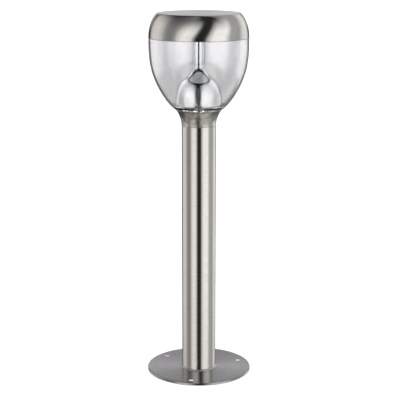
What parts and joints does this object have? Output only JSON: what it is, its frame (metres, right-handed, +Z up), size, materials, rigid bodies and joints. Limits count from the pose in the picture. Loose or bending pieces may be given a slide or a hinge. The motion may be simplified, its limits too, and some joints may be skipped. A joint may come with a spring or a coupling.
{
  "type": "bollard light",
  "caption": "Short outdoor post light: round drilled flange, brushed tube, flared neck, clear goblet globe over a chromed bell reflector, and a flat-topped cap that screws off.",
  "frame": {"origin": "centre of the base plate's underside, on the surface that the light stands on", "axes": "+Z up along the post; -Y is the front; the collar's set screws are at the back, towards +Y"},
  "size_m": [0.156, 0.156, 0.5415],
  "materials": {
    "stainless_plate": "fine circular brushing, satin",
    "stainless_weld": "dressed TIG bead, satin",
    "stainless_post": "long-grain brushing along the tube, satin",
    "stainless_collar": "satin, softly mottled",
    "stainless_cap": "circular brushing, satin",
    "clear_globe": "clear, polished",
    "bright_chrome": "mirror-bright plating",
    "rubber_black": "matt black",
    "screw_black": "black oxide",
    "brass_parts": "turned, bright",
    "zinc_steel": "bright zinc plate",
    "white_nylon": "moulded, matt",
    "black_nylon": "moulded, matt",
    "lead_green_yellow": "soft insulation",
    "lead_brown": "soft insulation",
    "lead_blue": "soft insulation",
    "lead_red": "soft insulation",
    "spun_aluminium": "turned, clean",
    "pad_grey": "soft, matt",
    "white_board": "white solder mask",
    "led_yellow": "phosphor gel",
    "frosted_diffuser": "frosted, light grey-white"
  },
  "bodies": {
    "stand": {"base_plate": "stainless_plate", "base_weld": "stainless_weld", "cable_grommet": "rubber_black", "post_tube": "stainless_post", "neck_collar": "stainless_collar", "collar_set_screws": "screw_black", "globe_gasket": "rubber_black", "globe": "clear_globe", "globe_seal": "rubber_black", "reflector_gasket": "rubber_black", "reflector_bell": "bright_chrome", "stem_bush": "brass_parts", "tie_rod": "zinc_steel", "tie_rod_top_nut": "zinc_steel", "tie_rod_bottom_nut": "zinc_steel", "tie_rod_washer": "zinc_steel", "terminal_bracket": "zinc_steel", "terminal_block": "white_nylon", "terminal_clamps": "brass_parts", "terminal_screws": "zinc_steel", "block_screws": "zinc_steel", "cord_anchor_bar": "black_nylon", "anchor_screws": "zinc_steel", "bracket_nuts": "zinc_steel", "earth_screw": "zinc_steel", "earth_nut": "zinc_steel", "earth_ring_terminal": "brass_parts", "earth_lead": "lead_green_yellow", "live_lead": "lead_brown", "neutral_lead": "lead_blue", "lead_loops": "lead_brown"},
    "lamp_module": {"led_carrier": "spun_aluminium", "thermal_pad": "pad_grey", "led_board": "white_board", "led_chips": "led_yellow", "board_screws": "zinc_steel", "diffuser_plate": "frosted_diffuser", "diffuser_bezel": "black_nylon", "led_driver": "white_nylon", "driver_screws": "zinc_steel", "board_leads": "lead_red"},
    "cap": {"cap_shell": "stainless_cap", "cap_thread_ring": "black_nylon", "cap_snap_ring": "screw_black"}
  },
  "joints": [
    {"name": "module_lift", "type": "slide", "parent": "stand", "child": "lamp_module", "axis": [0, 0, 1], "range_m": [0, 0.0121], "deforming": ["lead_loops"]},
    {"name": "cap_turn", "type": "hinge", "parent": "lamp_module", "child": "cap", "pos_m": [0, 0, 0.52], "axis": [0, 0, 1], "range_deg": [0, 540]}
  ],
  "couplings": [
    {"joint": "module_lift", "follows": "cap_turn", "m_per_rad": 0.0012732}
  ]
}
